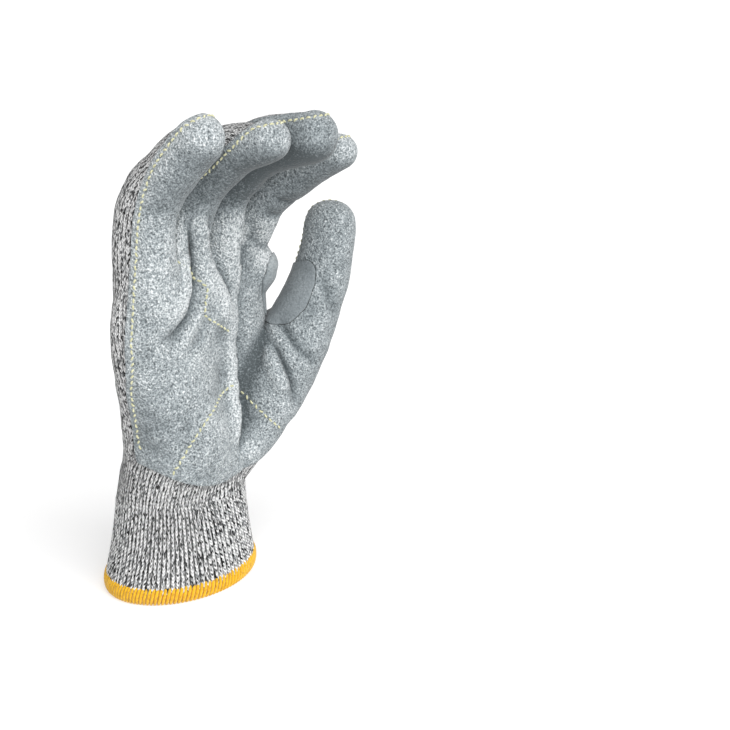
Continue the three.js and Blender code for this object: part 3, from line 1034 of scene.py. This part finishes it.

# Painted shading on the suede, lighter above 0 and darker below it: painted highlights on the skin's raised
# relief and the high sides of its folds and painted shade in its hollows, painted shade on what faces down,
# painted light and shade in spots of some amount (below 0 for shade), radius and place, darker past a length
# along each finger, and painted shade where fingers meet.
relief_rate, relief_least, relief_most = 8, -0.35, 0.24
fold_rate, fold_least, fold_most = 0.05, -0.25, 0.15
down_painted_shade = 0.85
painted_shading_spots = [(-0.12, 22, (-25, -18, 72)), (0.6, 9, (29, -19, 147)), (0.1, 8, (32, -18, 134))]
finger_darkening = {
    "thumb": (0.26, 35),
    "middle": (0.34, 50),
    "index": (0.06, 50),
    "ring": (0.16, 50),
    "pinky": (0.08, 75),
}
darkening_fade = 20
between_painted_shade, between_start, between_reach, own_reach = 0.5, 40, 6, 1.5
relief = smoothed(((hand - neighbour_mean(hand, quads)) * hand_normals).sum(1), 6)
# Painted highlights on raised relief and the folds' high sides, painted shade in hollows and on the folds'
# low sides.
painted_shading_by_point = np.clip(relief * relief_rate, relief_least, relief_most)
painted_shading_by_point += np.clip(raise_by * fold_rate, fold_least, fold_most)
# Painted shade on what faces down.
painted_shading_by_point -= down_painted_shade * np.clip(-hand_normals[:, 2], 0, 1)
# Painted light in spots above 0, painted shade in spots below 0.
for amount, radius, middle in painted_shading_spots:
    painted_shading_by_point += amount * np.exp(-(((hand - middle) ** 2).sum(1) / radius**2))
# Darker past a length along each finger and the thumb.
for name, (darkening, start) in finger_darkening.items():
    past_root = np.clip((on_arms[name]["length"] - start) / darkening_fade, 0, 1)
    painted_shading_by_point -= darkening * past_root * nearness(on_arms[name]["off"], blend_reach)
# Painted shade on each finger where the one beside it comes close.
for name, beside in {"ring": "pinky", "middle": "ring", "index": "middle"}.items():
    from_beside = on_arms[beside]["off"]
    owned = nearness(on_arms[name]["off"], own_reach) * np.clip(from_beside, 0, 1)
    past_root = np.clip((on_arms[name]["length"] - between_start) / darkening_fade, 0, 1)
    painted_shading_by_point -= between_painted_shade * owned * past_root * np.exp(-((from_beside / between_reach) ** 2))


def sheet(name, field, thickness, material, slot, node):
    """A piece of leather over the hand, where field is above 0."""
    pairs, faces, _ = clip(quads, field)
    made = new_object(name, between(hand, pairs) + between(hand_normals, pairs) * leather_gap, faces)
    smooth_shaded(made.data)
    # Each point keeps the painted shading that lightens and darkens the leather's colour.
    rub = made.data.attributes.new("rub", "FLOAT", "POINT")
    rub.data.foreach_set("value", between(painted_shading_by_point, pairs)[:, 0])
    walled(made, thickness, 1)
    dressed(made, material, slot, node)


sheet("leather_palm_sheet", leather_field, leather_wall, palm_leather, "split_leather", "leather_palm")

# The crotch patch. A separate strip of leather with a smoother nap bends round the fork of the thumb, where a
# glove wears first. Its darker greys are painted shade, where it lies side-on in the fork. It is set into the
# palm's sheet, and is thick enough to stand a little proud of it.
patch_wall = 2.0
patch_past_edge = 1.5
patch_painted_shade_greys = [
    (0.3, (0.13, 0.15, 0.16)), (0.5, (0.2, 0.224, 0.236)), (0.7, (0.27, 0.3, 0.312)),
    (0.9, (0.42, 0.45, 0.46)),
]
patch_leather = split_leather_material("patch_leather", patch_painted_shade_greys, 0.55)
patch_field = smoothed(np.minimum(in_patch, leather_inside + patch_past_edge), 1)
sheet("thumb_crotch_patch", patch_field, patch_wall, patch_leather, "patch_leather", "crotch_patch")

# The stitches. A pale yellow thread holds the leather down, in a line a little inside its edge, and quilts
# it to the knitting across the palm. Each stitch is a short arch, and each lies a little askew.
stitch_pitch = 2.6
stitch_length = 1.6
stitch_radius = 0.4
seam_inset = 2.1
seam_past_patch = 1
thread_lift = leather_gap + leather_wall + 0.05
thread_yellows = [(0.3, (0.38, 0.375, 0.22)), (0.55, (0.54, 0.53, 0.34)), (0.8, (0.72, 0.71, 0.52))]
stitch_yellow = yellow_material("stitch_thread", thread_yellows, 1500)


def stitch_tree():
    """Short arched stitches along the edges of a mesh, standing out along its attribute."""
    inputs = {
        "Pitch": ("NodeSocketFloat", stitch_pitch * mm),
        "Length": ("NodeSocketFloat", stitch_length * mm),
        "Radius": ("NodeSocketFloat", stitch_radius * mm),
        "Swing": ("NodeSocketFloat", 0.8),
        "Material": ("NodeSocketMaterial", None),
    }
    tree, wire, given = node_tree("stitch row", inputs)
    path = wire.node("GeometryNodeMeshToCurve", sockets={0: given["Geometry"]})
    spaced = wire.node(
        "GeometryNodeResampleCurve", {"mode": "LENGTH"}, {"Curve": path, "Length": given["Pitch"]}
    )
    half = given["Length"] * 0.5
    down = given["Radius"] * -1.2
    arch = wire.node(
        "GeometryNodeCurveQuadraticBezier",
        sockets={
            "Resolution": 6,
            "Start": wire.node("ShaderNodeCombineXYZ", sockets={0: half * -1, 1: 0.0, 2: down}),
            "Middle": wire.node("ShaderNodeCombineXYZ", sockets={0: 0.0, 1: 0.0, 2: given["Radius"] * 2.2}),
            "End": wire.node("ShaderNodeCombineXYZ", sockets={0: half, 1: 0.0, 2: down}),
        },
    )
    ring = wire.node("GeometryNodeCurvePrimitiveCircle", sockets={"Resolution": 6, "Radius": given["Radius"]})
    stitch = wire.node(
        "GeometryNodeCurveToMesh", sockets={"Curve": arch, "Profile Curve": ring, "Fill Caps": True}
    )
    outward = wire.node("GeometryNodeInputNamedAttribute", {"data_type": "FLOAT_VECTOR"}, {"Name": "outward"})
    tangent = wire.node("GeometryNodeInputTangent")
    stood = wire.node("FunctionNodeAlignRotationToVector", {"axis": "Z"}, {"Vector": outward})
    turned = wire.node(
        "FunctionNodeAlignRotationToVector",
        {"axis": "X", "pivot_axis": "Z"},
        {"Rotation": stood, "Vector": tangent},
    )
    swing = wire.node(
        "FunctionNodeRandomValue",
        {"data_type": "FLOAT"},
        {2: given["Swing"] * -1, 3: given["Swing"], "Seed": 4},
        1,
    )
    askew = wire.node(
        "FunctionNodeEulerToRotation", sockets={0: wire.node("ShaderNodeCombineXYZ", sockets={2: swing})}
    )
    swung = wire.node(
        "FunctionNodeRotateRotation", {"rotation_space": "LOCAL"}, {"Rotation": turned, "Rotate By": askew}
    )
    placed = wire.node(
        "GeometryNodeInstanceOnPoints", sockets={"Points": spaced, "Instance": stitch, "Rotation": swung}
    )
    shaded = wire.node("GeometryNodeSetShadeSmooth", sockets={"Geometry": placed})
    finish_tree(wire, shaded, given["Material"])
    return tree


stitches = stitch_tree()


def stitch_row(name, points, normals, edges):
    """Stitches along edges between points on the leather, each standing out along its normal."""
    made = new_object(name, points, [], edges)
    outward = made.data.attributes.new("outward", "FLOAT_VECTOR", "POINT")
    outward.data.foreach_set("vector", np.asarray(normals, float).ravel())
    grown(made, stitches, {"Material": stitch_yellow})
    dressed(made, stitch_yellow, "yellow_yarn")


# The seam follows the leather's edge beside the fingers and the palm, and leaves out the patch and the
# rounded lower edge.
outer_edge = smoothed(np.minimum(leather_inside, above_edge), 2)
pairs, _, seam = clip(quads, outer_edge - seam_inset)
seam_normals = between(hand_normals, pairs)
seam_points = between(hand, pairs) + seam_normals * thread_lift
sewn = between(in_patch, pairs)[:, 0] < -seam_past_patch
sewn &= between(above_edge - leather_inside, pairs)[:, 0] > 0
stitch_row("edge_stitches", seam_points, seam_normals, [edge for edge in seam if sewn[edge].all()])

# The quilting lines, by points near the surface that they are laid on.
quilt_lines = [
    [(-26, -13, 51), (-22, -21, 67), (-13, -24, 79), (-2, -22, 84), (8, -19, 87)],
    [(-21, -14, 144), (-18, -18, 140), (-15, -21, 136), (-11, -23, 132), (-11, -22, 127), (-11, -22, 121),
     (-5, -22, 117), (3, -22, 112)],
    [(17, -19, 81), (19, -21, 78), (20.5, -25, 74.5), (23, -29, 70), (27, -31, 66)],
]
quilt_points, quilt_normals, quilt_edges = [], [], []
for line in quilt_lines:
    placed = smooth_path(line, 60)
    placed = placed[above_low_edge(placed) > seam_inset]
    closest = np.array([((hand - place) ** 2).sum(1).argmin() for place in placed])
    normals = hand_normals[closest]
    placed = placed + normals * (((hand[closest] - placed) * normals).sum(1) + thread_lift)[:, None]
    for turn in range(3):
        placed[1:-1] = (placed[:-2] + 2 * placed[1:-1] + placed[2:]) / 4
        normals[1:-1] = (normals[:-2] + 2 * normals[1:-1] + normals[2:]) / 4
    quilt_edges += [(len(quilt_points) + i, len(quilt_points) + i + 1) for i in range(len(placed) - 1)]
    quilt_points += list(placed)
    quilt_normals += list(normals)
stitch_row("quilting_stitches", quilt_points, quilt_normals, quilt_edges)

# The floor, the soft light and the camera, which looks at the palm from the little finger's side.
floor_reach = 9
floor_corners = [(x * floor_reach, y * floor_reach, 0) for x, y in ((-1, -1), (1, -1), (1, 1), (-1, 1))]
floor = new_object("floor", floor_corners, [(0, 1, 2, 3)], scale=1)
floor_paint, floor_shader, _ = new_material("floor_paint", 0.9, 0.0)
floor_shader.inputs["Base Color"].default_value = (0.6, 0.6, 0.6, 1)
floor_shader.inputs["Emission Color"].default_value = (1, 1, 1, 1)
floor_shader.inputs["Emission Strength"].default_value = 0.45
floor.data.materials.append(floor_paint)

world = bpy.data.worlds.new("studio")
bpy.context.scene.world = world
world.use_nodes = True
world.node_tree.nodes["Background"].inputs["Color"].default_value = (1, 1, 1, 1)
world.node_tree.nodes["Background"].inputs["Strength"].default_value = 0.32

glove_middle = Vector((0, 0, 0.103))
soft_light = bpy.data.lights.new("soft_key", "SUN")
soft_light.energy = 4.3
soft_light.angle = math.radians(80)
soft_key = bpy.data.objects.new("soft_key", soft_light)
bpy.context.collection.objects.link(soft_key)
soft_key.rotation_euler = Vector((-0.5, -0.9, 0.85)).to_track_quat("Z", "Y").to_euler()

view_azimuth = math.radians(-50)
view_elevation = math.radians(16)
view_distance = 0.6107
aim_right, aim_down = 0.0768, 0.0089
roll = math.radians(2.08)
photo_pixels = 730
focal_pixels = 1459
away = Vector(
    (
        math.sin(view_azimuth) * math.cos(view_elevation),
        -math.cos(view_azimuth) * math.cos(view_elevation),
        math.sin(view_elevation),
    )
)
right = (-away).cross(Vector((0, 0, 1))).normalized()
up = right.cross(-away)
camera_data = bpy.data.cameras.new("camera")
camera_data.sensor_width = 36
camera_data.lens = camera_data.sensor_width * focal_pixels / photo_pixels
camera = bpy.data.objects.new("camera", camera_data)
bpy.context.collection.objects.link(camera)
camera.location = glove_middle + away * view_distance
facing = (glove_middle + right * aim_right - up * aim_down - camera.location).to_track_quat("-Z", "Y")
camera.rotation_euler = (facing @ Quaternion((0, 0, 1), roll)).to_euler()
bpy.context.scene.camera = camera
bpy.context.scene.view_settings.view_transform = "Standard"
